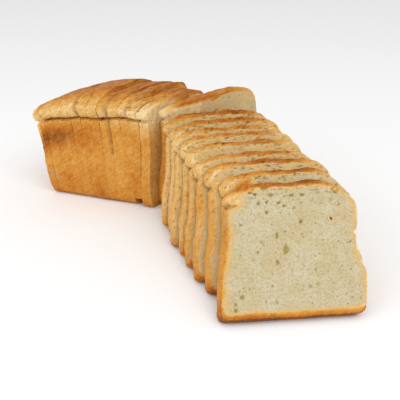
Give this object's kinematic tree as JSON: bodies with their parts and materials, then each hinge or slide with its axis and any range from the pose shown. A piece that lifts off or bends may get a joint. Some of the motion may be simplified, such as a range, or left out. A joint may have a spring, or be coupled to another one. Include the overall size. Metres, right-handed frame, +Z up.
{
  "type": "sliced tin loaf",
  "caption": "Sliced tin loaf: an upright run of slices turns a corner into a row that leans forward like fallen dominoes.",
  "frame": {"origin": "on the table, under the middle of the loaf's bounding box", "axes": "+Z up; -Y is the side that the leaning slices face, with the last slice's whole cut face; the upright run is at the -X +Y end"},
  "size_m": [0.3234, 0.3594, 0.1224],
  "materials": {
    "crust": "matte",
    "crumb": "matte"
  },
  "bodies": {
    "root": {"upright_slice_01": "crust", "upright_slice_02": "crust", "upright_slice_03": "crust", "upright_slice_04": "crust", "upright_slice_05": "crust", "upright_slice_06": "crust", "upright_slice_07": "crust", "upright_slice_08": "crust", "upright_slice_09": "crust", "upright_slice_10": "crust", "upright_slice_11": "crust", "upright_slice_12": "crust", "corner_slice_13": "crust", "leaning_slice_14": "crumb", "leaning_slice_15": "crumb", "leaning_slice_16": "crumb", "leaning_slice_17": "crumb", "leaning_slice_18": "crumb", "leaning_slice_19": "crumb", "leaning_slice_20": "crumb", "leaning_slice_21": "crumb", "leaning_slice_22": "crumb"}
  },
  "joints": []
}
